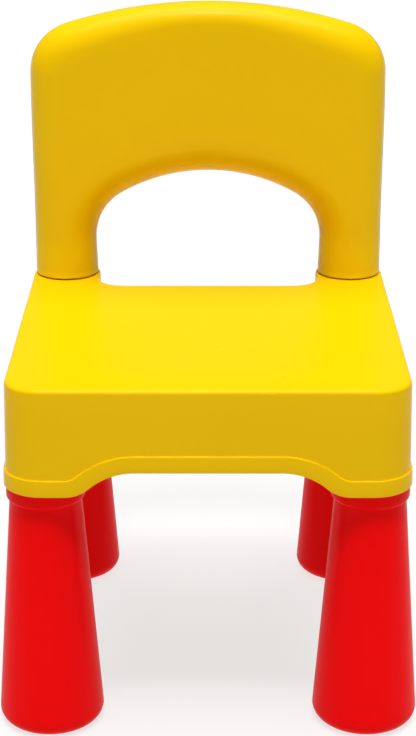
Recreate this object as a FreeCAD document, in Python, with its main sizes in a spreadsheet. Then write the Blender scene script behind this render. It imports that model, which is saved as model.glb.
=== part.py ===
"""A child's chair: a moulded seat, a moulded backrest and four plug-in legs.

Millimetres. +Z is up, the chair faces -Y, and the origin is on the floor under the
middle of the chair. Each leg is a hollow bottle shape whose open neck plugs into a
socket under the seat. Each backrest post ends in a spigot that passes through the
seat deck and plugs into the open neck of the rear leg below it.
"""
import FreeCAD, Part
import math
import os

import Sketcher

os.makedirs("parts", exist_ok=True)
doc = FreeCAD.newDocument("kids_chair")
sheet = doc.addObject("Spreadsheet::Sheet", "Sizes")

# Driving dimensions: alias, value and what it measures (millimetres or degrees).
DIMENSIONS = [
    ("leg_x", 102.0, "leg and post axes, from the middle plane"),
    ("leg_y", 111.0, "leg axes, from the middle of the depth"),
    ("seat_height", 236.0, "floor to the top of the seat"),
    ("seat_front", 139.0, "middle to the top of the front wall"),
    ("skirt_height", 69.0, "top of the seat to the lower rim at a corner"),
    ("skirt_draft", 1.1, "outward lean of the skirt"),
    ("front_half_width", 125.0, "half the width of the seat's top at the front"),
    ("corner_round", 24.0, "front corners in plan"),
    ("ear_radius", 23.8, "rear corner round each post, at the top"),
    ("recess_y", 77.0, "middle to the rear wall between the posts"),
    ("recess_round", 19.0, "plan fillet between the rear wall and an ear"),
    ("seat_edge_round", 2.0, "round along the top edge of the seat"),
    ("seat_wall", 3.0, "skirt thickness"),
    ("deck_thickness", 3.5, "seat deck"),
    ("band_step", 1.2, "how far the rim band stands out"),
    ("band_height", 10.9, "width of the rim band"),
    ("arch_margin", 14.0, "leg axis to the start of the rim's rise"),
    ("arch_run", 43.0, "width of the rim's rise"),
    ("arch_bend", 12.0, "radius of the lower bend along the band's upper edge"),
    ("arch_rise", 16.0, "height of the rim's rise"),
    ("rib_thickness", 2.4, "ribs under the deck"),
    ("rib_depth", 5.0, "ribs below the deck"),
    ("rib_spacing", 46.0, "distance between ribs"),
    ("foot_radius", 34.5, "leg cone where it would meet the floor"),
    ("foot_round", 9.0, "round of the foot"),
    ("foot_recess", 1.5, "hollow in the middle of the foot"),
    ("recess_radius", 14.0, "inner radius of that hollow"),
    ("neck_radius", 22.85, "leg cone just under the collar"),
    ("neck_height", 155.4, "floor to the top of the cone"),
    ("collar_radius", 24.9, "collar under the seat"),
    ("collar_step", 2.0, "height of the slope out to the collar"),
    ("collar_round", 1.2, "round of the collar's upper edge"),
    ("leg_wall", 2.5, "leg wall"),
    ("spigot_radius", 18.0, "leg neck that goes up into the seat"),
    ("spigot_height", 46.0, "leg neck above the collar"),
    ("spigot_chamfer", 1.5, "lead-in of both kinds of spigot"),
    ("snap_height", 30.0, "snap ring above the collar"),
    ("snap_step", 0.5, "snap ring proud of the neck"),
    ("socket_wall", 2.8, "socket tube under the seat"),
    ("clearance", 0.2, "gap round each spigot"),
    ("post_radius", 22.5, "foot of a backrest post"),
    ("post_foot", 12.0, "height of the round foot of a post"),
    ("post_foot_round", 0.8, "round of the foot's lower edge"),
    ("post_spigot_radius", 15.3, "post spigot in the leg neck"),
    ("post_spigot_length", 52.0, "post spigot below the seat top"),
    ("back_height", 193.7, "seat top to the top of the backrest, along it"),
    ("back_half_width", 124.4, "half the width of the backrest"),
    ("back_thickness", 42.0, "thickness of the backrest"),
    ("back_round", 20.0, "round of the backrest's edges"),
    ("back_top_arc", 335.0, "radius of the backrest's top outline"),
    ("back_shoulder", 36.0, "radius of its upper corners"),
    ("back_wall", 3.0, "backrest wall"),
    ("recline", 3.0, "backward lean of the backrest"),
    ("opening_half_width", 80.6, "half the width of the opening"),
    ("opening_height", 75.5, "seat top to the top of the opening"),
    ("opening_arc", 125.0, "radius of the opening's top"),
    ("opening_shoulder", 38.0, "radius of its upper corners"),
]


NEAR = 0.01  # how close two heights must be to count as the same


class Size:
    """A length with its value and the spreadsheet expression that gives it."""

    def __init__(self, value, text):
        self.value = float(value)
        self.text = text

    def __add__(self, other):
        other = size_of(other)
        return Size(self.value + other.value, f"({self.text} + {other.text})")

    def __sub__(self, other):
        other = size_of(other)
        return Size(self.value - other.value, f"({self.text} - {other.text})")

    def __mul__(self, other):
        other = size_of(other)
        return Size(self.value * other.value, f"({self.text} * {other.text})")

    def __truediv__(self, other):
        other = size_of(other)
        return Size(self.value / other.value, f"({self.text} / {other.text})")

    def __neg__(self):
        return Size(-self.value, f"(0 - {self.text})")

    def __radd__(self, other):
        return size_of(other) + self

    def __rsub__(self, other):
        return size_of(other) - self

    def __rmul__(self, other):
        return size_of(other) * self


def size_of(number):
    return number if isinstance(number, Size) else Size(number, repr(float(number)))


def root(size):
    """The square root of a size."""
    return Size(math.sqrt(size.value), f"sqrt({size.text})")


class Sizes:
    """The spreadsheet's cells, each as a Size."""


S = Sizes()
for row, (alias, value, meaning) in enumerate(DIMENSIONS, 1):
    sheet.set(f"A{row}", meaning)
    sheet.set(f"B{row}", str(value))
    sheet.setAlias(f"B{row}", alias)
    setattr(S, alias, Size(value, f"Sizes.{alias}"))
doc.recompute()


# ---------------------------------------------------------------- sketch helpers

def new_body(name):
    body = doc.addObject("PartDesign::Body", name)
    body.Label = name
    return body


def new_sketch(body, name, plane, shift=(0, 0, 0)):
    """A sketch on one of the body's origin planes, moved along the plane's own axes."""
    sketch = body.newObject("Sketcher::SketchObject", name)
    support = [f for f in body.Origin.OriginFeatures if f.Role == plane][0]
    sketch.AttachmentSupport = [(support, "")]
    sketch.MapMode = "FlatFace"
    for axis, distance in zip("xyz", shift):
        distance = size_of(distance)
        if distance.value:
            sketch.setExpression(f"AttachmentOffset.Base.{axis}", distance.text)
    return sketch


def bind(sketch, kind, arguments, size):
    """Add a dimension to the sketch and tie it to the sheet."""
    index = sketch.addConstraint(Sketcher.Constraint(kind, *arguments, size.value))
    sketch.setExpression(f"Constraints[{index}]", size.text)


def pin_point(sketch, segment, end, point):
    """Hold one end of a segment at a point given by two sizes."""
    for kind, axis, size in (("DistanceX", -2, point[0]), ("DistanceY", -1, point[1])):
        size = size_of(size)
        if size.value:
            bind(sketch, kind, (-1, 1, segment, end), size)
        else:
            sketch.addConstraint(Sketcher.Constraint("PointOnObject", segment, end, axis))


def line(point):
    """A straight line to a point."""
    return (point, None, None)


def arc(point, centre, turn):
    """An arc to a point round a centre: turn is +1 anticlockwise and -1 clockwise."""
    return (point, centre, turn)


def plain(point):
    """A point's values, as a vector in the sketch plane."""
    return FreeCAD.Vector(size_of(point[0]).value, size_of(point[1]).value, 0)


def draw_loop(sketch, start, steps):
    """Draw a closed loop of lines and arcs from start, with every corner tied to the sheet."""
    first = sketch.GeometryCount
    ends = []
    here = start
    for point, centre, turn in steps:
        a, b = plain(here), plain(point)
        if centre is None:
            sketch.addGeometry(Part.LineSegment(a, b), False)
            ends.append((1, 2, None))
        else:
            c = plain(centre)
            circle = Part.Circle(c, FreeCAD.Vector(0, 0, 1), (a - c).Length)
            low, high = (a, b) if turn > 0 else (b, a)
            angles = [math.atan2(p.y - c.y, p.x - c.x) for p in (low, high)]
            if angles[1] < angles[0]:
                angles[1] += 2 * math.pi
            sketch.addGeometry(Part.ArcOfCircle(circle, *angles), False)
            ends.append((1, 2, (here, centre)) if turn > 0 else (2, 1, (here, centre)))
        here = point
    count = len(steps)
    here = start
    for i, step in enumerate(steps):
        begin, finish, round_of = ends[i]
        following = (i + 1) % count
        sketch.addConstraint(Sketcher.Constraint(
            "Coincident", first + i, finish, first + following, ends[following][0]))
        pin_point(sketch, first + i, begin, here)
        if round_of:
            bind(sketch, "Radius", (first + i,), radius_between(*round_of))
        here = step[0]


def radius_between(point, centre):
    """The distance from an arc's centre to its start, as a size."""
    dx = size_of(point[0]) - centre[0]
    dy = size_of(point[1]) - centre[1]
    if dx.value == 0:
        return dy if dy.value > 0 else -dy
    if dy.value == 0:
        return dx if dx.value > 0 else -dx
    return root(dx * dx + dy * dy)


def mirror(point):
    return (-size_of(point[0]), point[1])


def draw_mirrored_loop(sketch, start, steps):
    """Draw a loop whose right half is given, from the middle line round to the middle line."""
    corners = [start] + [step[0] for step in steps]
    back = []
    for i in range(len(steps) - 1, -1, -1):
        centre, turn = steps[i][1], steps[i][2]
        middle = None if centre is None else mirror(centre)
        back.append((mirror(corners[i]), middle, turn))
    draw_loop(sketch, start, steps + back)


def draw_circle(sketch, centre, radius):
    circle = Part.Circle(plain(centre), FreeCAD.Vector(0, 0, 1), size_of(radius).value)
    index = sketch.addGeometry(circle, False)
    pin_point(sketch, index, 3, centre)
    bind(sketch, "Radius", (index,), size_of(radius))


# ---------------------------------------------------------------- feature helpers

def feature(body, kind, name, sketch, lengths, **settings):
    """Add a sketch-based feature, with its sizes tied to the sheet."""
    made = body.newObject(f"PartDesign::{kind}", name)
    made.Profile = sketch
    for key, value in settings.items():
        setattr(made, key, value)
    for key, size in lengths.items():
        made.setExpression(key, size_of(size).text)
    sketch.Visibility = False
    doc.recompute()
    return made


def named_edges(item):
    return [(f"Edge{i}", edge) for i, edge in enumerate(item.Shape.Edges, 1)]


def is_level(edge, height):
    """Whether both ends of an edge are at a height."""
    return all(abs(v.Point.z - height.value) < NEAR for v in edge.Vertexes)


def round_edges(body, name, base, edges, radius, kind="Fillet"):
    """Fillet or chamfer some of a feature's edges."""
    made = body.newObject(f"PartDesign::{kind}", name)
    made.Base = (base, edges)
    made.setExpression("Radius" if kind == "Fillet" else "Size", radius.text)
    body.Tip = made
    doc.recompute()
    return made


def combine(body, name, kind, tool):
    """Fuse a tool body with this body, cut it away or keep what they share."""
    made = body.newObject("PartDesign::Boolean", name)
    made.Type = kind
    made.setObjects([tool])
    body.Tip = made
    doc.recompute()
    return made


# ---------------------------------------------------------------- seat

def seat_outline(sketch, grow):
    """The seat in plan: round front corners, and an ear round each post at the rear."""
    side = S.leg_x + S.ear_radius + grow
    front_side = S.front_half_width + grow
    front = -(S.seat_front + grow)
    turn_in = S.corner_round + grow
    ear_inside = S.leg_x - S.ear_radius - grow
    rear = S.recess_y + grow
    fillet = S.recess_round - grow
    draw_mirrored_loop(sketch, (0, front), [
        line((front_side - turn_in, front)),
        arc((front_side, front + turn_in), (front_side - turn_in, front + turn_in), 1),
        line((side, S.leg_y)),
        arc((S.leg_x, S.leg_y + S.ear_radius + grow), (S.leg_x, S.leg_y), 1),
        arc((ear_inside, S.leg_y), (S.leg_x, S.leg_y), 1),
        line((ear_inside, rear + fillet)),
        arc((ear_inside - fillet, rear), (ear_inside - fillet, rear + fillet), -1),
        line((0, rear)),
    ])


def seat_block(name, grow, top, height):
    """A drafted block with the seat's plan, from its top down."""
    body = new_body(name)
    sketch = new_sketch(body, f"{name}_plan", "XY_Plane", (0, 0, top))
    seat_outline(sketch, grow)
    pad = feature(body, "Pad", f"{name}_pad", sketch,
                  {"Length": height, "TaperAngle": S.skirt_draft}, Reversed=True)
    return body, pad


def rim_profile(sketch, axis_distance, rim_low, above, floor):
    """The region under a line that runs a set distance above the rim, level at the corners
    and raised between the legs. Both bends keep their centres whatever the distance."""
    low = rim_low + above
    lift = S.arch_rise
    corner = axis_distance - S.arch_margin
    middle = corner - S.arch_run
    bends = (S.arch_run * S.arch_run + lift * lift) / lift / 2
    bend = S.arch_bend + S.band_height - above
    share = bend / bends
    joint = (corner - S.arch_run * share, low + lift * share)
    upper_centre = (middle, low + lift - bends + bend)
    lower_centre = (corner, low + bend)
    outside = axis_distance * 2
    draw_mirrored_loop(sketch, (0, low + lift), [
        line((middle, low + lift)),
        arc(joint, upper_centre, -1),
        arc((corner, low), lower_centre, 1),
        line((outside, low)),
        line((outside, floor)),
        line((0, floor)),
    ])


def rim_prisms(name, rim_low, above, floor):
    """Everything under such a line, along the front and rear and along the sides."""
    body = new_body(name)
    for plane, distance in (("XZ_Plane", S.leg_x), ("YZ_Plane", S.leg_y)):
        sketch = new_sketch(body, f"{name}_{plane[:2].lower()}", plane)
        rim_profile(sketch, distance, rim_low, above, floor)
        feature(body, "Pad", f"{name}_pad_{plane[:2].lower()}", sketch,
                {"Length": S.leg_x * 4}, SideType="Symmetric")
    return body


def make_seat():
    rim_low = S.seat_height - S.skirt_height
    deck_low = S.seat_height - S.deck_thickness
    socket = S.spigot_radius + S.snap_step + S.clearance
    body, block = seat_block("seat", Size(0, "0"), S.seat_height, S.skirt_height)
    top_edges = [name for name, edge in named_edges(block) if is_level(edge, S.seat_height)]
    round_edges(body, "seat_edge", block, top_edges, S.seat_edge_round)

    # The rim band: a slightly larger block, kept only under the band's upper line.
    band, _ = seat_block("seat_band", S.band_step, S.seat_height, S.skirt_height)
    band_line = rim_prisms("seat_band_line", rim_low, S.band_height, rim_low)
    combine(band, "band_under_line", "Common", band_line)
    combine(body, "with_band", "Fuse", band)

    # The hollow under the deck, less the socket tubes and the ribs.
    hollow, _ = seat_block("seat_hollow", -S.seat_wall, deck_low, S.skirt_height)
    combine(body, "hollowed", "Cut", hollow)
    make_ribs(body, deck_low)
    tubes = new_sketch(body, "socket_tubes", "XY_Plane", (0, 0, rim_low))
    for centre in leg_centres():
        draw_circle(tubes, centre, socket + S.socket_wall)
    feature(body, "Pad", "socket_tube_pads", tubes,
            {"Length": S.skirt_height - S.deck_thickness / 2})
    bores = new_sketch(body, "socket_bores", "XY_Plane", (0, 0, rim_low))
    for centre in leg_centres():
        draw_circle(bores, centre, socket)
    feature(body, "Pocket", "socket_bore_pockets", bores,
            {"Length": S.skirt_height - S.deck_thickness}, Reversed=True)

    # Holes through the deck for the backrest's spigots.
    holes = new_sketch(body, "post_holes", "XY_Plane", (0, 0, rim_low))
    for centre in leg_centres()[2:]:
        draw_circle(holes, centre, S.post_spigot_radius + S.clearance)
    feature(body, "Pocket", "post_hole_pockets", holes,
            {"Length": S.skirt_height + S.deck_thickness}, Reversed=True)

    # The arched lower rim, cut right across both ways.
    under_rim = rim_prisms("seat_under_rim", rim_low, Size(0, "0"), rim_low - S.band_height)
    combine(body, "arched_rim", "Cut", under_rim)
    return body


def leg_centres():
    """Leg axes: front left, front right, rear left, rear right."""
    return [(-S.leg_x, -S.leg_y), (S.leg_x, -S.leg_y), (-S.leg_x, S.leg_y), (S.leg_x, S.leg_y)]


def make_ribs(body, deck_low):
    """A grid of ribs under the deck, from wall to wall."""
    half_rib = S.rib_thickness / 2
    wall = S.seat_wall / 2
    side = S.leg_x + S.ear_radius - wall
    sketch = new_sketch(body, "ribs", "XY_Plane", (0, 0, deck_low))
    for step in (-1, 0, 1):
        middle = S.rib_spacing * step
        draw_box(sketch, middle - half_rib, middle + half_rib, -(S.seat_front - wall),
                 S.recess_y - wall)
    feature(body, "Pad", "rib_pads_lengthways", sketch, {"Length": S.rib_depth},
            Reversed=True)
    cross = new_sketch(body, "cross_ribs", "XY_Plane", (0, 0, deck_low))
    for step in (-1, 0, 1):
        middle = S.rib_spacing * step - half_rib
        draw_box(cross, -side, side, middle - half_rib, middle + half_rib)
    feature(body, "Pad", "rib_pads_crossways", cross, {"Length": S.rib_depth},
            Reversed=True)


def draw_box(sketch, left, right, near, far):
    draw_loop(sketch, (left, near), [
        line((right, near)), line((right, far)), line((left, far)), line((left, near))])


# ---------------------------------------------------------------- legs

def make_leg(name, x_sign, y_sign):
    """A hollow tapered leg, closed and rounded at the foot, with an open neck."""
    body = new_body(name)
    sketch = new_sketch(body, f"{name}_profile", "XZ_Plane")
    slope = (S.foot_radius - S.neck_radius) / S.neck_height
    lean = root(slope * slope + 1)
    round_x = S.foot_radius - slope * S.foot_round - S.foot_round * lean
    shoulder = S.seat_height - S.skirt_height
    inner_round = S.foot_round - S.leg_wall
    top = shoulder + S.spigot_height
    bore = S.spigot_radius - S.leg_wall
    snap = shoulder + S.snap_height
    ring = S.spigot_radius + S.snap_step
    ring_slope = S.snap_step * 3
    edge = S.collar_round
    inner_neck = S.neck_radius - S.leg_wall * lean
    collar_low = S.neck_height + S.collar_step
    rounding_centre = (round_x, S.foot_round)
    draw_loop(sketch, (0, S.foot_recess), [
        line((S.recess_radius, S.foot_recess)),
        line((S.recess_radius + S.foot_recess * 2, 0)),
        line((round_x, 0)),
        arc((round_x + S.foot_round / lean, S.foot_round + S.foot_round * slope / lean),
            rounding_centre, 1),
        line((S.neck_radius, S.neck_height)),
        line((S.collar_radius, collar_low)),
        line((S.collar_radius, shoulder - edge)),
        arc((S.collar_radius - edge, shoulder), (S.collar_radius - edge, shoulder - edge), 1),
        line((S.spigot_radius, shoulder)),
        line((S.spigot_radius, snap - ring_slope)),
        line((ring, snap)),
        line((S.spigot_radius, snap + ring_slope)),
        line((S.spigot_radius, top - S.spigot_chamfer)),
        line((S.spigot_radius - S.spigot_chamfer, top)),
        line((bore, top)),
        line((bore, shoulder - S.leg_wall)),
        line((inner_neck, S.neck_height)),
        line((round_x + inner_round / lean, S.foot_round + inner_round * slope / lean)),
        arc((round_x, S.leg_wall), rounding_centre, -1),
        line((S.recess_radius + S.foot_recess * 2, S.leg_wall)),
        line((S.recess_radius, S.leg_wall + S.foot_recess)),
        line((0, S.leg_wall + S.foot_recess)),
        line((0, S.foot_recess)),
    ])
    feature(body, "Revolution", f"{name}_turned", sketch, {},
            ReferenceAxis=(sketch, ["V_Axis"]), Angle=360)
    body.setExpression("Placement.Base.x", (S.leg_x * x_sign).text)
    body.setExpression("Placement.Base.y", (S.leg_y * y_sign).text)
    return body


# ---------------------------------------------------------------- backrest

def back_outline(sketch, inset, foot):
    """The backrest's front outline: a crowned panel on two posts, round an arched opening."""
    side = S.back_half_width - inset
    top = S.back_height - inset
    crown = S.back_top_arc - inset
    corner = S.back_shoulder - inset
    crown_low = top - crown
    reach = crown - corner
    corner_x = side - corner
    corner_y = crown_low + root(reach * reach - corner_x * corner_x)
    share = crown / reach

    gap = S.opening_half_width + inset
    gap_top = S.opening_height + inset
    gap_crown = S.opening_arc + inset
    gap_corner = S.opening_shoulder + inset
    gap_low = gap_top - gap_crown
    gap_reach = gap_crown - gap_corner
    gap_x = gap - gap_corner
    gap_y = gap_low + root(gap_reach * gap_reach - gap_x * gap_x)
    gap_share = gap_crown / gap_reach
    draw_mirrored_loop(sketch, (0, top), [
        arc((corner_x * share, crown_low + (corner_y - crown_low) * share), (0, crown_low), -1),
        arc((side, corner_y), (corner_x, corner_y), -1),
        line((side, foot)),
        line((gap, foot)),
        line((gap, gap_y)),
        arc((gap_x * gap_share, gap_low + (gap_y - gap_low) * gap_share), (gap_x, gap_y), 1),
        arc((0, gap_top), (0, gap_low), 1),
    ])


def back_form(name, inset, spigot_low):
    """The backrest's shape drawn in by an inset: panel, round post feet and spigots."""
    body = new_body(name)
    foot = S.seat_height + inset
    front = new_sketch(body, f"{name}_front", "XZ_Plane", (0, S.seat_height, -S.leg_y))
    front.AttachmentOffset = FreeCAD.Placement(
        front.AttachmentOffset.Base, FreeCAD.Rotation(FreeCAD.Vector(-1, 0, 0), 1))
    front.setExpression("AttachmentOffset.Rotation.Angle", S.recline.text)
    back_outline(front, inset, S.post_foot / 2 + inset)
    panel = feature(body, "Pad", f"{name}_panel", front,
                    {"Length": S.back_thickness - inset * 2}, SideType="Symmetric")
    curved = [n for n, edge in named_edges(panel) if isinstance(edge.Curve, Part.Circle)]
    round_edges(body, f"{name}_rounded", panel, curved, S.back_round - inset)
    feet = new_sketch(body, f"{name}_feet", "XY_Plane", (0, 0, foot))
    for centre in leg_centres()[2:]:
        draw_circle(feet, centre, S.post_radius - inset)
    feature(body, "Pad", f"{name}_foot_pads", feet, {"Length": S.post_foot})
    spigots = new_sketch(body, f"{name}_spigots", "XY_Plane", (0, 0, spigot_low))
    for centre in leg_centres()[2:]:
        draw_circle(spigots, centre, S.post_spigot_radius - inset)
    rise = foot - spigot_low + S.back_wall
    tips = feature(body, "Pad", f"{name}_spigot_pads", spigots, {"Length": rise})
    return body, tips


def make_backrest():
    spigot_low = S.seat_height - S.post_spigot_length
    body, tips = back_form("backrest", Size(0, "0"), spigot_low)
    seams = [n for n, edge in named_edges(tips) if is_level(edge, S.seat_height)
             and edge.Curve.Radius > S.post_spigot_radius.value + NEAR]
    seam_round = round_edges(body, "post_foot_edges", tips, seams, S.post_foot_round)
    ends = [n for n, edge in named_edges(seam_round) if is_level(edge, spigot_low)]
    round_edges(body, "spigot_ends", seam_round, ends, S.spigot_chamfer, "Chamfer")
    hollow, _ = back_form("backrest_hollow", S.back_wall, spigot_low - S.back_wall)
    combine(body, "hollow_backrest", "Cut", hollow)
    return body


# ---------------------------------------------------------------- build and export

def check_document():
    """Stop if any object of the document failed to build."""
    failed = [item.Name for item in doc.Objects if {"Invalid", "Error"} & set(item.State)]
    if failed:
        raise RuntimeError(f"objects that failed: {failed}")


def export(body):
    """Write a sub-part's shape to parts/ under its label."""
    shape = body.Shape
    if shape.isNull() or not shape.isValid() or len(shape.Solids) != 1:
        raise RuntimeError(f"{body.Label} is not one valid solid")
    shape.exportStep(f"parts/{body.Label}.step")
    print(f"{body.Label}: {shape.Volume / 1000:.0f} cm3")


def main():
    pieces = [make_seat(), make_backrest()]
    for end, y_sign in (("front", -1), ("rear", 1)):
        for hand, x_sign in (("left", -1), ("right", 1)):
            pieces.append(make_leg(f"leg_{end}_{hand}", x_sign, y_sign))
    doc.recompute()
    check_document()
    for body in pieces:
        export(body)


main()
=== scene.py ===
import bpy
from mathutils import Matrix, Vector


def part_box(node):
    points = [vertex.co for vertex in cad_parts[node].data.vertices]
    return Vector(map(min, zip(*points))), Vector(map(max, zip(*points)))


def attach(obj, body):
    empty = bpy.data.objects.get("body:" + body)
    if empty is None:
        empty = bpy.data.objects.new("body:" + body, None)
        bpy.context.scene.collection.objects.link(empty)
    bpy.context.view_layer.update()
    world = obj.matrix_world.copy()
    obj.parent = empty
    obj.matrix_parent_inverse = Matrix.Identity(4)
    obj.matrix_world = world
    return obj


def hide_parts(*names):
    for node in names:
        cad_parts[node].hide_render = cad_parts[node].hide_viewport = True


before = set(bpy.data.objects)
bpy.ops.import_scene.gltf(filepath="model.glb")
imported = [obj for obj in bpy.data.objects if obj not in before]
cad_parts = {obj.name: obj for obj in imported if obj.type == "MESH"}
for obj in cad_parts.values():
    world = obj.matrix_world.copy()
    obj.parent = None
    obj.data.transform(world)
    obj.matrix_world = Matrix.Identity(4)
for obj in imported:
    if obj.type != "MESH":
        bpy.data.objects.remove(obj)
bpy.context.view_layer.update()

import math

import bmesh
import bpy
from mathutils import Vector
from mathutils.geometry import delaunay_2d_cdt

# A child's chair in metres: +Z up, facing -Y. The CAD nodes give each piece its place and
# its height; the meshes here add the soft edges and the moulded detail.

SEAT_LOW, SEAT_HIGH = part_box("seat")
BACK_LOW, BACK_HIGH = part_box("backrest")
LEG_BOXES = {name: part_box(name) for name in sorted(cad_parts) if name.startswith("leg_")}


def middle(box):
    return (box[0] + box[1]) / 2


LEG_X = abs(middle(LEG_BOXES["leg_rear_right"]).x)
LEG_Y = abs(middle(LEG_BOXES["leg_rear_right"]).y)
SEAT_TOP = SEAT_HIGH.z
RIM_LOW = SEAT_LOW.z

SHARP_ANGLE = math.radians(35)      # an edge turning more than this stays crisp
MERGE_DISTANCE = 1e-6               # points closer than this are one
TURN_STEPS = 64                     # steps round a socket tube or a hole


# ---------------------------------------------------------------- mesh helpers

def arc(centre, radius, start, end, count):
    """Points on an arc, both ends included. Angles are in degrees."""
    points = []
    for i in range(count + 1):
        angle = math.radians(start + (end - start) * i / count)
        points.append((centre[0] + radius * math.cos(angle), centre[1] + radius * math.sin(angle)))
    return points


def smooth_step(value, low, high):
    """0 below low, 1 above high, and an even S between them."""
    share = min(max((value - low) / (high - low), 0), 1)
    return share * share * (3 - 2 * share)


def mix(a, b, share):
    return a + (b - a) * share


def bridge(rings):
    """Vertices and quads that join closed rings of equal length, in order."""
    verts = [point for ring in rings for point in ring]
    faces = []
    count = len(rings[0])
    for k in range(len(rings) - 1):
        for i in range(count):
            following = (i + 1) % count
            a, b = k * count + i, k * count + following
            faces.append((a, b, b + count, a + count))
    return verts, faces


def shade(mesh):
    """Smooth shading, with crisp edges where the surface turns sharply."""
    mesh.shade_smooth()
    mesh.set_sharp_from_angle(angle=SHARP_ANGLE)


def new_piece(name, verts, faces):
    """An object from a mesh, merged, with its normals outward."""
    mesh = bpy.data.meshes.new(name)
    mesh.from_pydata([tuple(v) for v in verts], [], faces)
    work = bmesh.new()
    work.from_mesh(mesh)
    bmesh.ops.remove_doubles(work, verts=work.verts, dist=MERGE_DISTANCE)
    bmesh.ops.recalc_face_normals(work, faces=work.faces)
    work.to_mesh(mesh)
    work.free()
    shade(mesh)
    piece = bpy.data.objects.new(name, mesh)
    bpy.context.scene.collection.objects.link(piece)
    return piece


def combine(piece, tool, operation):
    """Join a tool to a piece or cut it away, and drop the tool."""
    change = piece.modifiers.new("combine", "BOOLEAN")
    change.object = tool
    change.operation = operation
    change.solver = "EXACT"
    bpy.context.view_layer.update()
    graph = bpy.context.evaluated_depsgraph_get()
    mesh = bpy.data.meshes.new_from_object(piece.evaluated_get(graph))
    piece.modifiers.clear()
    piece.data = mesh
    bpy.data.objects.remove(tool)


def turned(name, profile, centre):
    """A piece turned round an upright axis from a closed profile of (radius, height)."""
    angles = [2 * math.pi * i / TURN_STEPS for i in range(TURN_STEPS)]
    rings = []
    for radius, height in profile:
        rings.append([(centre.x + radius * math.cos(a), centre.y + radius * math.sin(a), height)
                      for a in angles])
    return new_piece(name, *bridge(rings))


def block(name, low, high):
    """A plain block between two corners."""
    corners = [(x, y, z) for x in (low[0], high[0]) for y in (low[1], high[1])
               for z in (low[2], high[2])]
    sides = [(0, 1, 3, 2), (4, 6, 7, 5), (0, 4, 5, 1), (2, 3, 7, 6), (0, 2, 6, 4), (1, 5, 7, 3)]
    return new_piece(name, corners, sides)


# ---------------------------------------------------------------- materials

CLOUD_SCALE = 9             # the noises' scales, in features for each metre
GLOSS_SCALE = 60
PEEL_SCALE = 500
CLOUD_SPREAD = (0.3, 0.7)
GLOSS_SPREAD = 0.03
PEEL_STRENGTH = 0.04
PEEL_HEIGHT = 0.00003


def plastic(name, colour, deeper, roughness, specular):
    """Moulded plastic: faint cloudy colour, uneven gloss and a fine orange-peel surface."""
    material = bpy.data.materials.new(name)
    material.use_nodes = True
    nodes, links = material.node_tree.nodes, material.node_tree.links
    shader = nodes["Principled BSDF"]
    shader.inputs["Specular IOR Level"].default_value = specular
    place = nodes.new("ShaderNodeTexCoord")

    def noise(scale, detail):
        made = nodes.new("ShaderNodeTexNoise")
        made.inputs["Scale"].default_value = scale
        made.inputs["Detail"].default_value = detail
        links.new(place.outputs["Object"], made.inputs["Vector"])
        return made.outputs["Fac"]

    clouds = nodes.new("ShaderNodeValToRGB")
    for stop, position, shade_of in zip(clouds.color_ramp.elements, CLOUD_SPREAD, (deeper, colour)):
        stop.position = position
        stop.color = (*shade_of, 1)
    links.new(noise(CLOUD_SCALE, 3), clouds.inputs["Fac"])
    links.new(clouds.outputs["Color"], shader.inputs["Base Color"])

    gloss = nodes.new("ShaderNodeMapRange")
    gloss.inputs["To Min"].default_value = roughness - GLOSS_SPREAD
    gloss.inputs["To Max"].default_value = roughness + GLOSS_SPREAD
    links.new(noise(GLOSS_SCALE, 4), gloss.inputs["Value"])
    links.new(gloss.outputs["Result"], shader.inputs["Roughness"])

    peel = nodes.new("ShaderNodeBump")
    peel.inputs["Strength"].default_value = PEEL_STRENGTH
    peel.inputs["Distance"].default_value = PEEL_HEIGHT
    links.new(noise(PEEL_SCALE, 1), peel.inputs["Height"])
    links.new(peel.outputs["Normal"], shader.inputs["Normal"])
    return material


def finish_piece(piece, material, slot, *nodes):
    """Give a piece its material and its body, and hide the CAD nodes that it stands for. The slot
    is not used.
    """
    piece.data.materials.clear()
    piece.data.materials.append(material)
    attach(piece, "root")
    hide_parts(*nodes)


# ---------------------------------------------------------------- legs

FOOT_RADIUS = 0.03445       # where the cone would meet the floor, a hair inside the CAD's
FOOT_ROUND = 0.009
FOOT_RECESS = 0.0015        # the shallow hollow under the foot
RECESS_RADIUS = 0.0140
NECK_RADIUS = 0.02285
NECK_HEIGHT = 0.1554
COLLAR_RADIUS = 0.0249
COLLAR_HEIGHT = 0.1574
COLLAR_ROUND = 0.0012
COLLAR_SOFT = 0.0006        # the softening of the corners under the collar
SPIGOT_RADIUS = 0.018
SPIGOT_LEAD = 0.0015        # the chamfer at each end of a spigot
SNAP_HEIGHT = 0.030         # the snap ring, above the rim, and its size
SNAP_HALF = 0.0015
SNAP_STEP = 0.0005
LEG_WALL = 0.0025
LEG_STEPS = 112
PARTING_LINE = 0.00012      # the ridge's height, and half its width in degrees
PARTING_HALF = 0.8


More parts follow.
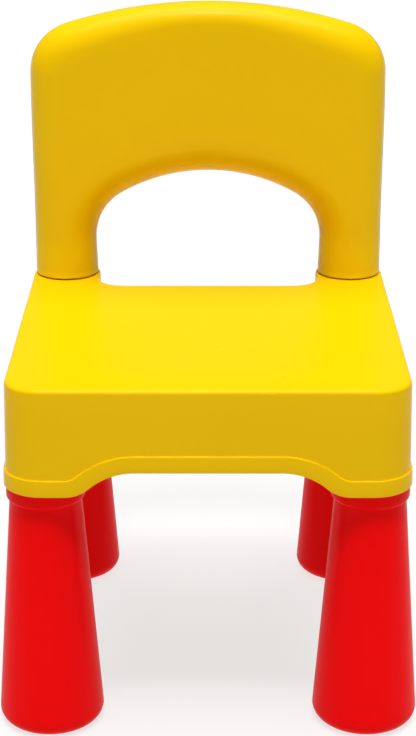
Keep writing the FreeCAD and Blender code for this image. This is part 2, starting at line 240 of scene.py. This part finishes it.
def leg_profile(leg_top):
    """Half of the leg's section, from the middle of the foot up and back down inside."""
    slope = (FOOT_RADIUS - NECK_RADIUS) / NECK_HEIGHT
    lean = math.degrees(math.atan(slope))
    round_x = FOOT_RADIUS - slope * FOOT_ROUND - FOOT_ROUND / math.cos(math.radians(lean))
    outside = [
        (0, FOOT_RECESS), (RECESS_RADIUS - 0.0015, FOOT_RECESS),
        (RECESS_RADIUS, FOOT_RECESS - 0.0002), (RECESS_RADIUS + 0.0025, 0.0002),
        (RECESS_RADIUS + 0.0038, 0.0),
    ]
    outside += arc((round_x, FOOT_ROUND), FOOT_ROUND, -90, lean, 14)
    for share in (0.12, 0.25, 0.5, 0.75, 0.94):
        height = mix(FOOT_ROUND, NECK_HEIGHT, share)
        outside.append((FOOT_RADIUS - slope * height, height))
    outside += [
        (NECK_RADIUS + slope * COLLAR_SOFT, NECK_HEIGHT - COLLAR_SOFT),
        (NECK_RADIUS + COLLAR_SOFT * 0.25, NECK_HEIGHT + COLLAR_SOFT * 0.2),
        (COLLAR_RADIUS - COLLAR_SOFT * 0.5, COLLAR_HEIGHT - COLLAR_SOFT * 0.6),
        (COLLAR_RADIUS, COLLAR_HEIGHT + COLLAR_SOFT),
    ]
    collar_centre = (COLLAR_RADIUS - COLLAR_ROUND, RIM_LOW - COLLAR_ROUND)
    outside += arc(collar_centre, COLLAR_ROUND, 0, 90, 5)
    snap = RIM_LOW + SNAP_HEIGHT
    neck = [
        (SPIGOT_RADIUS, RIM_LOW),
        (SPIGOT_RADIUS, snap - SNAP_HALF), (SPIGOT_RADIUS + SNAP_STEP, snap),
        (SPIGOT_RADIUS, snap + SNAP_HALF), (SPIGOT_RADIUS, leg_top - SPIGOT_LEAD),
        (SPIGOT_RADIUS - SPIGOT_LEAD, leg_top),
    ]
    bore = SPIGOT_RADIUS - LEG_WALL
    floor_inside = LEG_WALL + FOOT_RECESS
    inside = [
        (bore, leg_top), (bore, RIM_LOW - LEG_WALL), (NECK_RADIUS - LEG_WALL, NECK_HEIGHT),
        (FOOT_RADIUS - slope * FOOT_ROUND - LEG_WALL, FOOT_ROUND),
    ]
    inside += arc((round_x, FOOT_ROUND), FOOT_ROUND - LEG_WALL, lean, -90, 6)[1:]
    inside += [(RECESS_RADIUS, floor_inside), (0, floor_inside)]
    return outside + neck + inside


def leg_angles():
    """Even steps round the leg, with extra ones across the two mould parting lines."""
    even = [2 * math.pi * (i + 0.5) / LEG_STEPS for i in range(LEG_STEPS)]
    extra = [side + math.radians(turn)
             for side in (0, math.pi) for turn in (-PARTING_HALF, 0, PARTING_HALF)]
    return sorted(a % (2 * math.pi) for a in even + extra)


def make_leg(name, box, material):
    """A turned leg with a hairline ridge up each side, where the mould halves met."""
    centre = middle(box)
    rings = []
    for radius, height in leg_profile(box[1].z):
        ring = []
        for a in leg_angles():
            on_ridge = abs(math.sin(a)) < 1e-6 and radius > SPIGOT_RADIUS + 0.001
            r = radius if on_ridge or radius < PARTING_LINE else radius - PARTING_LINE
            ring.append((centre.x + r * math.cos(a), centre.y + r * math.sin(a), height))
        rings.append(ring)
    leg = new_piece(name + "_moulding", *bridge(rings))
    finish_piece(leg, material, "leg_plastic", name)


# ---------------------------------------------------------------- seat

FRONT_HALF = 0.125          # the plan, at the top of the seat
FRONT_Y = -0.139
EAR_RADIUS = 0.0238
RECESS_Y = 0.0770
CORNER_ROUND = 0.024
RECESS_ROUND = 0.019
OUTLINE_STEP = 0.002

SKIRT_DRAFT = math.tan(math.radians(1.1))
SEAT_WALL = 0.003
DECK_LOW = SEAT_TOP - 0.0035
FRONT_EDGE = 0.0030         # the round of the top edge at the front, side and ears
SIDE_EDGE = 0.0018
EAR_EDGE = 0.0013
SIDE_EDGE_SPAN = (-0.120, 0.030)    # the depths over which each takes over
EAR_EDGE_SPAN = (0.072, 0.098)

BAND_STEP = 0.0012          # the raised band round the rim
BAND_HEIGHT = 0.0109
BAND_ROUND = 0.0008
BAND_LOW_ROUND = 0.0007
LEDGE_FILLET = 0.0004
INNER_CHAMFER = 0.0005
DECK_FILLET = 0.0015

ARCH_MARGIN = 0.014         # the rise of the rim between the legs
ARCH_RUN = 0.043
ARCH_BEND = 0.012
ARCH_RISE = 0.016

DISH_DEPTH = 0.0015         # the hollow of the deck
DISH_MIDDLE_Y = -0.030
DISH_HALF_WIDTH = 0.105
DISH_HALF_LENGTH = 0.095
DECK_CELL = 0.006           # triangle sizes on the deck and under it
UNDERSIDE_CELL = 0.012

SOCKET_IN = 0.0187          # the tubes that hold the legs
SOCKET_OUT = 0.0215
POST_HOLE = 0.0155
RIB_HALF = 0.0012
RIB_DEPTH = 0.005
RIB_SPACING = 0.046
OVERLAP = 0.001             # how far a joined piece reaches into the deck
KEEP_INSIDE = 1             # triangulation: keep only what lies inside the outline
SAME_POINT = 1e-7


def walk(points_and_normals, start, end, normal):
    """Add even steps along a straight stretch, its end left out."""
    count = max(1, round((Vector(end) - Vector(start)).length / OUTLINE_STEP))
    for i in range(count):
        points_and_normals.append((Vector(start).lerp(Vector(end), i / count), Vector(normal)))


def walk_arc(points_and_normals, centre, radius, start, end):
    """Add even steps round an arc, its end left out. A hollow arc has a negative radius."""
    length = abs(math.radians(end - start) * radius)
    count = max(4, round(length / OUTLINE_STEP))
    outward = math.copysign(1, radius)
    for i in range(count):
        angle = math.radians(start + (end - start) * i / count)
        ray = Vector((math.cos(angle), math.sin(angle)))
        points_and_normals.append((Vector(centre) + ray * abs(radius), ray * outward))


def seat_outline():
    """The seat's plan as points with outward normals, anticlockwise from the front middle."""
    side = LEG_X + EAR_RADIUS
    ear_in = LEG_X - EAR_RADIUS
    half = []
    corner = FRONT_HALF - CORNER_ROUND
    walk(half, (0, FRONT_Y), (corner, FRONT_Y), (0, -1))
    walk_arc(half, (corner, FRONT_Y + CORNER_ROUND), CORNER_ROUND, -90, 0)
    walk(half, (FRONT_HALF, FRONT_Y + CORNER_ROUND), (side, LEG_Y), (1, 0))
    walk_arc(half, (LEG_X, LEG_Y), EAR_RADIUS, 0, 180)
    walk(half, (ear_in, LEG_Y), (ear_in, RECESS_Y + RECESS_ROUND), (-1, 0))
    walk_arc(half, (ear_in - RECESS_ROUND, RECESS_Y + RECESS_ROUND), -RECESS_ROUND, 0, -90)
    walk(half, (ear_in - RECESS_ROUND, RECESS_Y), (0, RECESS_Y), (0, 1))
    half.append((Vector((0, RECESS_Y)), Vector((0, 1))))
    other = [(Vector((-p.x, p.y)), Vector((-n.x, n.y))) for p, n in half[1:-1]]
    return half + other[::-1]


def rim_rise(distance, axis_distance, above):
    """The rise, at a distance from the middle, of a line that runs above the lower rim.
    Both of its bends keep their centres, so the band between two lines is even."""
    corner = axis_distance - ARCH_MARGIN
    start = corner - ARCH_RUN
    bends = (ARCH_RUN ** 2 + ARCH_RISE ** 2) / ARCH_RISE / 2
    lower = ARCH_BEND + BAND_HEIGHT - above
    upper = bends - lower
    if distance >= corner:
        return 0
    if distance <= start:
        return ARCH_RISE
    if distance > corner - ARCH_RUN * lower / bends:
        return lower - math.sqrt(lower ** 2 - (corner - distance) ** 2)
    return ARCH_RISE - upper + math.sqrt(upper ** 2 - (distance - start) ** 2)


def rim_height(point, above):
    """The height of such a line at a point of the outline."""
    rises = (rim_rise(abs(point.x), LEG_X, above), rim_rise(abs(point.y), LEG_Y, above))
    return RIM_LOW + above + max(rises)


def top_round(point):
    """The radius of the seat's top edge: soft at the front, tighter at the rear."""
    along_side = mix(FRONT_EDGE, SIDE_EDGE, smooth_step(point.y, *SIDE_EDGE_SPAN))
    return mix(along_side, EAR_EDGE, smooth_step(point.y, *EAR_EDGE_SPAN))


def dish(x, y):
    """How far the deck is hollowed for sitting."""
    across, along = abs(x) / DISH_HALF_WIDTH, abs(y - DISH_MIDDLE_Y) / DISH_HALF_LENGTH
    return DISH_DEPTH * max(0, 1 - across ** 3 - along ** 3) ** 2


def seat_section(point):
    """The skirt's section at an outline point, as (offset, height), from the deck down,
    round the lower rim and up the inner wall."""
    radius = top_round(point)
    draft = math.degrees(math.atan(SKIRT_DRAFT))
    centre = (radius * SKIRT_DRAFT - radius * math.hypot(1, SKIRT_DRAFT), SEAT_TOP - radius)
    section = [(centre[0] - 0.0015, SEAT_TOP)]
    section += arc(centre, radius, 90, draft, 9)

    def wall_at(height):
        return (SEAT_TOP - height) * SKIRT_DRAFT

    low = rim_height(point, 0)
    ledge = rim_height(point, BAND_HEIGHT)
    for share in (0.4, 0.8):
        height = mix(SEAT_TOP - radius, ledge, share)
        section.append((wall_at(height), height))
    section += [
        (wall_at(ledge + LEDGE_FILLET * 4), ledge + LEDGE_FILLET * 4),
        (wall_at(ledge), ledge + LEDGE_FILLET),
        (wall_at(ledge) + LEDGE_FILLET * 0.3, ledge + LEDGE_FILLET * 0.2),
    ]
    face = wall_at(ledge) + BAND_STEP
    section += arc((face - BAND_ROUND, ledge - BAND_ROUND), BAND_ROUND, 80, 0, 5)
    foot = wall_at(low) + BAND_STEP
    section.append((mix(face, foot, 0.6), mix(ledge, low, 0.6)))
    section += arc((foot - BAND_LOW_ROUND, low + BAND_LOW_ROUND), BAND_LOW_ROUND, 0, -90, 4)

    inner = wall_at(low) - SEAT_WALL
    halfway = mix(low, DECK_LOW, 0.5)
    section += [
        (inner + INNER_CHAMFER, low), (inner, low + INNER_CHAMFER),
        (wall_at(halfway) - SEAT_WALL, halfway),
    ]
    corner = (wall_at(DECK_LOW) - SEAT_WALL - DECK_FILLET, DECK_LOW - DECK_FILLET)
    section += arc(corner, DECK_FILLET, 0, 90, 4)
    section.append((corner[0] - 0.001, DECK_LOW))
    return section


def fill_level(verts, faces, ring, cell, height_of):
    """Close a level ring of vertex numbers with small triangles that follow a height."""
    outline = [Vector(verts[i][:2]) for i in ring]
    count = len(outline)
    edges = [(i, (i + 1) % count) for i in range(count)]
    low = Vector((min(p.x for p in outline), min(p.y for p in outline)))
    high = Vector((max(p.x for p in outline), max(p.y for p in outline)))
    grid = []
    for row in range(1, int((high.y - low.y) / cell)):
        shift = cell / 2 if row % 2 else 0
        for column in range(1, int((high.x - low.x) / cell)):
            point = low + Vector((column * cell + shift, row * cell))
            if min((point - edge).length_squared for edge in outline[::2]) > (cell * 0.6) ** 2:
                grid.append(point)
    points, _, cells, origins, _, _ = delaunay_2d_cdt(
        outline + grid, edges, [], KEEP_INSIDE, SAME_POINT)
    numbers = []
    for point, origin in zip(points, origins):
        on_ring = [i for i in origin if i < count]
        if on_ring:
            numbers.append(ring[on_ring[0]])
        else:
            numbers.append(len(verts))
            verts.append((point.x, point.y, height_of(point.x, point.y)))
    faces += [tuple(numbers[i] for i in triangle) for triangle in cells]


def seat_shell():
    """The skirt's sections swept round the plan, closed by the deck above and below."""
    outline = seat_outline()
    sections = [seat_section(point) for point, _ in outline]
    rings = []
    for k in range(len(sections[0])):
        ring = []
        for (point, normal), section in zip(outline, sections):
            offset, height = section[k]
            place = point + normal * offset
            ring.append((place.x, place.y, height))
        rings.append(ring)
    verts, faces = bridge(rings)
    count = len(outline)
    last = count * (len(rings) - 1)
    fill_level(verts, faces, range(count), DECK_CELL, lambda x, y: SEAT_TOP - dish(x, y))
    fill_level(verts, faces, range(last, last + count), UNDERSIDE_CELL, lambda x, y: DECK_LOW)
    return new_piece("seat_moulding", verts, faces)


def add_socket(seat, centre):
    """A tube under the deck that holds a leg, and a rear one's hole for the post above."""
    low, high = RIM_LOW + 0.0004, DECK_LOW + OVERLAP
    profile = [
        (SOCKET_IN, high), (SOCKET_IN, low + 0.0006), (SOCKET_IN + 0.0006, low),
        (SOCKET_OUT - 0.0004, low), (SOCKET_OUT, low + 0.0006), (SOCKET_OUT, high),
        (SOCKET_IN, high),
    ]
    combine(seat, turned("socket_tube", profile, centre), "UNION")
    if centre.y > 0:
        above, below = SEAT_TOP + 0.002, DECK_LOW - 0.003
        profile = [(0, above), (POST_HOLE, above), (POST_HOLE, below), (0, below)]
        combine(seat, turned("post_hole", profile, centre), "DIFFERENCE")


def add_ribs(seat):
    """Three ribs each way under the deck."""
    low, high = DECK_LOW - RIB_DEPTH, DECK_LOW + OVERLAP
    side = LEG_X + EAR_RADIUS - SEAT_WALL / 2
    front, rear = FRONT_Y + SEAT_WALL / 2, RECESS_Y - SEAT_WALL / 2
    for at in (-RIB_SPACING, 0, RIB_SPACING):
        near, far = at - RIB_HALF, at + RIB_HALF
        combine(seat, block("rib", (near, front, low), (far, rear, high)), "UNION")
        combine(seat, block("rib", (-side, near, low), (side, far, high)), "UNION")


def make_seat(material):
    seat = seat_shell()
    for box in LEG_BOXES.values():
        add_socket(seat, middle(box))
    add_ribs(seat)
    shade(seat.data)
    finish_piece(seat, material, "seat_plastic", "seat")


# ---------------------------------------------------------------- backrest

BACK_HALF = 0.1244          # the outline: half width, rise, top arc and shoulder
BACK_RISE = 0.1937
TOP_ARC = 0.335
SHOULDER = 0.036
GAP_HALF = 0.0806           # the same of the opening
GAP_RISE = 0.0755
GAP_ARC = 0.125
GAP_SHOULDER = 0.038
LEAN = math.tan(math.radians(3.0))

BACK_DEPTH = 0.0210         # half the thickness, and the rounds of its edges
POST_ROUND = 0.0208
CROWN_ROUND = 0.0195
CROWN_FRONT_ROUND = 0.0130
ARCH_ROUND = 0.0200
FACE_FALL = 0.0032          # the face falls back and the sides stand out by this much
SIDE_BULGE = 0.0010
FALL_SPAN = (0.050, 0.135)          # across, from the middle
BULGE_SPAN = (0.040, 0.130)         # upward, from the seat
FOOT_SPAN = (-0.010, 0.030)         # where a post turns from its round foot, upward
CROWN_SPAN = (0.060, 0.165)         # where the rear edge tightens, upward
CROWN_FRONT_SPAN = (0.010, 0.110)   # where the front edge loosens, across

POST_RADIUS = 0.0225
POST_SPIGOT = 0.0153
SPIGOT_WALL = 0.003
FOOT_EDGE = 0.0005
SEAM_HEIGHT = 0.0009        # the dark seam under each post, and how deep it goes
SEAM_DEPTH = 0.0030
CONTACT_GAP = 0.00005

FIRST_RISE = 0.003          # the lowest full section of a post
FRONT_FACE, REAR_FACE = -1, 1       # the two faces, as signs of the depth
FACE_STEPS = 10             # steps across a face, round an edge, up a post and over the panel
EDGE_STEPS = 9
POST_STEPS = 10
PANEL_STEPS = 72


def bend_height(half, rise, crown, corner):
    """Where an outline's straight side ends and its upper corner begins."""
    return rise - crown + math.sqrt((crown - corner) ** 2 - (half - corner) ** 2)


def outline_sampler(half, rise, crown, corner, start):
    """A function from a share, 0 at the height where the fan of sections starts and 1 at
    the middle of the top, to an outline's point and outward normal."""
    crown_low = rise - crown
    corner_x, corner_y = half - corner, bend_height(half, rise, crown, corner)
    turn = math.atan2(corner_y - crown_low, corner_x)
    straight, bend = max(0, corner_y - start), corner * turn
    length = straight + bend + crown * (math.pi / 2 - turn)

    def sample(share):
        left = share * length
        if left <= straight:
            return Vector((half, start + left)), Vector((1, 0))
        left -= straight
        if left <= bend:
            ray = Vector((math.cos(left / corner), math.sin(left / corner)))
            return Vector((corner_x, corner_y)) + ray * corner, ray
        left -= bend
        ray = Vector((math.cos(turn + left / crown), math.sin(turn + left / crown)))
        return Vector((0, crown_low)) + ray * crown, ray

    return sample


def face_fall(x):
    """How far the front face falls back towards the sides of the panel."""
    return FACE_FALL * smooth_step(abs(x), *FALL_SPAN) ** 2


def side_bulge(x, rise):
    """How far the panel's sides stand out near its shoulders."""
    reach = smooth_step(abs(x), GAP_HALF, BACK_HALF) * smooth_step(rise, *BULGE_SPAN)
    return math.copysign(SIDE_BULGE * reach, x)


def round_foot(point):
    """Draw a point of the post's lowest stretch towards the round foot."""
    x, rise, depth = point
    ray = Vector((x - LEG_X, depth))
    share = 1 - smooth_step(rise, *FOOT_SPAN)
    place = ray.lerp(ray.normalized() * POST_RADIUS, share)
    return (LEG_X + place.x, rise, place.y)


def back_ring(inner, outer, inner_normal, outer_normal, inner_round, outer_round, front_round):
    """One section of the backrest between the opening and the outline, as (x, rise, depth).
    Its outer edge may be rounded more tightly at the front than at the rear."""
    quarter = [math.pi / 2 * i / EDGE_STEPS for i in range(EDGE_STEPS + 1)]

    def edge(point, normal, radius, angles, face):
        ring = []
        for a in angles:
            place = point - normal * radius * (1 - math.cos(a))
            depth = face * (BACK_DEPTH - radius + radius * math.sin(a))
            ring.append((place.x, place.y, depth))
        return ring

    def across(a, b):
        return [tuple(mix(a[k], b[k], i / FACE_STEPS) for k in range(3))
                for i in range(1, FACE_STEPS)]

    front_out = edge(outer, outer_normal, front_round, quarter[::-1], FRONT_FACE)
    rear_out = edge(outer, outer_normal, outer_round, quarter, REAR_FACE)
    rear_in = edge(inner, inner_normal, inner_round, quarter[::-1], REAR_FACE)
    front_in = edge(inner, inner_normal, inner_round, quarter, FRONT_FACE)
    ring = front_out + rear_out + across(rear_out[-1], rear_in[0]) + rear_in + front_in
    ring += across(front_in[-1], front_out[0])
    return [(x + side_bulge(x, y), y, d + face_fall(x) if d < 0 else d) for x, y, d in ring]


def half_rings():
    """Sections from the post's foot up to the middle of the panel, for +X."""
    bend = bend_height(GAP_HALF, GAP_RISE, GAP_ARC, GAP_SHOULDER)
    gap = outline_sampler(GAP_HALF, GAP_RISE, GAP_ARC, GAP_SHOULDER, bend)
    outer = outline_sampler(BACK_HALF, BACK_RISE, TOP_ARC, SHOULDER, bend)
    rings = []
    for i in range(POST_STEPS):
        rise = mix(FIRST_RISE, bend, i / POST_STEPS)
        ring = back_ring(Vector((GAP_HALF, rise)), Vector((BACK_HALF, rise)),
                         Vector((-1, 0)), Vector((1, 0)), POST_ROUND, POST_ROUND, POST_ROUND)
        rings.append([round_foot(point) for point in ring])
    for i in range(PANEL_STEPS + 1):
        share = i / PANEL_STEPS
        p_in, n_in = gap(share)
        p_out, n_out = outer(share)
        round_out = mix(POST_ROUND, CROWN_ROUND, smooth_step(p_out.y, *CROWN_SPAN))
        sideways = smooth_step(p_out.x, *CROWN_FRONT_SPAN)
        round_front = mix(CROWN_FRONT_ROUND, POST_ROUND, sideways)
        round_in = mix(POST_ROUND, ARCH_ROUND, smooth_step(share, 0, 0.5))
        rings.append(back_ring(p_in, p_out, -n_in, n_out, round_in, round_out, round_front))
    return rings


def foot_rings(lowest):
    """Level circles from inside the spigot, round it and out to the post's foot, with the
    same spacing as the lowest section above them."""
    contact = SEAT_TOP + CONTACT_GAP
    bottom = SEAT_TOP + SEAM_HEIGHT
    plug = SEAT_TOP - SPIGOT_WALL
    bore = POST_SPIGOT - SPIGOT_WALL
    ledge = POST_RADIUS - SEAM_DEPTH
    circles = [
        (0, plug), (bore, plug), (bore, BACK_LOW.z), (POST_SPIGOT - SPIGOT_LEAD, BACK_LOW.z),
        (POST_SPIGOT, BACK_LOW.z + SPIGOT_LEAD), (POST_SPIGOT, contact), (ledge, contact),
        (ledge, bottom), (POST_RADIUS - FOOT_EDGE, bottom),
    ]
    circles += arc((POST_RADIUS - FOOT_EDGE, bottom + FOOT_EDGE), FOOT_EDGE, -60, 0, 4)
    rays = [Vector((x - LEG_X, y - LEG_Y)).normalized() for x, y, _ in lowest]
    rings = []
    for radius, height in circles:
        places = [ray * radius for ray in rays]
        rings.append([(LEG_X + place.x, LEG_Y + place.y, height) for place in places])
    return rings


def make_backrest(material):
    stretch = (BACK_HIGH.z - SEAT_TOP) / BACK_RISE
    right = [[(x, LEG_Y + rise * LEAN + depth, SEAT_TOP + rise * stretch)
              for x, rise, depth in ring] for ring in half_rings()]
    right = foot_rings(right[0]) + right
    left = [[(-x, y, z) for x, y, z in ring] for ring in right[:-1]][::-1]
    backrest = new_piece("backrest_moulding", *bridge(right + left))
    finish_piece(backrest, material, "back_plastic", "backrest")


# ---------------------------------------------------------------- studio, light and camera

STUDIO_HALF = 9
CAMERA_PLACE = (0, -1.170, 0.619)
CAMERA_DIP = 19.66          # degrees below level
CAMERA_LENS = 89.7          # millimetres, as is the sensor
SENSOR_WIDTH = 36
AMBIENT = 0.17
STUDIO_ROUGHNESS = 0.9
STUDIO_SPECULAR = 0.1


def stage_piece(name, verts, faces, grey, glow):
    """A plain matt surface of the studio that gives off some light of its own."""
    mesh = bpy.data.meshes.new(name)
    mesh.from_pydata(verts, [], faces)
    piece = bpy.data.objects.new(name, mesh)
    bpy.context.scene.collection.objects.link(piece)
    material = bpy.data.materials.new(name)
    material.use_nodes = True
    shader = material.node_tree.nodes["Principled BSDF"]
    shader.inputs["Base Color"].default_value = (grey, grey, grey, 1)
    shader.inputs["Emission Color"].default_value = (1, 1, 1, 1)
    shader.inputs["Emission Strength"].default_value = glow
    shader.inputs["Roughness"].default_value = STUDIO_ROUGHNESS
    shader.inputs["Specular IOR Level"].default_value = STUDIO_SPECULAR
    mesh.materials.append(material)
    return piece


def make_studio():
    """A wide pale floor, and pale walls far away that neither light nor shade the chair."""
    half = STUDIO_HALF
    corners = [(-half, -half, 0), (half, -half, 0), (half, half, 0), (-half, half, 0)]
    stage_piece("floor", corners, [(0, 1, 2, 3)], grey=0.18, glow=0.72)
    tops = [(x, y, half) for x, y, _ in corners]
    sides = [(i, (i + 1) % 4, 4 + (i + 1) % 4, 4 + i) for i in range(4)]
    walls = stage_piece("walls", corners + tops, sides, grey=0.0, glow=1.0)
    walls.visible_diffuse = False
    walls.visible_glossy = False
    walls.visible_shadow = False


def add_sun(name, elevation, width, strength):
    """A soft light from far away, in front of the chair. Angles are in degrees."""
    data = bpy.data.lights.new(name, "SUN")
    data.energy = strength
    data.angle = math.radians(width)
    light = bpy.data.objects.new(name, data)
    angle = math.radians(elevation)
    towards = Vector((0, -math.cos(angle), math.sin(angle)))
    light.rotation_euler = towards.to_track_quat("Z", "Y").to_euler()
    bpy.context.scene.collection.objects.link(light)


def make_light():
    world = bpy.data.worlds.new("studio")
    world.use_nodes = True
    background = world.node_tree.nodes["Background"]
    background.inputs["Color"].default_value = (1, 1, 1, 1)
    background.inputs["Strength"].default_value = AMBIENT
    bpy.context.scene.world = world
    add_sun("overhead", elevation=90, width=50, strength=3.5)
    add_sun("softbox", elevation=70, width=10, strength=1.5)
    add_sun("fill", elevation=15, width=60, strength=0.16)


def make_camera():
    """A portrait camera in front of the chair, a little above it and looking down."""
    data = bpy.data.cameras.new("camera")
    data.lens = CAMERA_LENS
    data.sensor_width = SENSOR_WIDTH
    camera = bpy.data.objects.new("camera", data)
    camera.location = CAMERA_PLACE
    camera.rotation_euler = (math.radians(90 - CAMERA_DIP), 0, 0)
    bpy.context.scene.collection.objects.link(camera)
    bpy.context.scene.camera = camera
    bpy.context.scene.view_settings.view_transform = "Standard"


# ---------------------------------------------------------------- the chair

seat_yellow = plastic("seat_yellow", (0.78, 0.472, 0.001), (0.77, 0.462, 0.001), 0.26, 0.05)
# the backrest's copy of the seat's yellow is a touch lighter in green: painted light, set to match
# how brightly the backrest's face is lit
back_yellow_painted_lighter = plastic("back_yellow_painted_lighter", (0.78, 0.490, 0.001), (0.77, 0.480, 0.001), 0.26, 0.05)
leg_red = plastic("leg_red", (0.86, 0.001, 0.002), (0.84, 0.001, 0.001), 0.36, 0.04)

make_seat(seat_yellow)
make_backrest(back_yellow_painted_lighter)
for leg_name, leg_box in LEG_BOXES.items():
    make_leg(leg_name, leg_box, leg_red)

make_studio()
make_light()
make_camera()
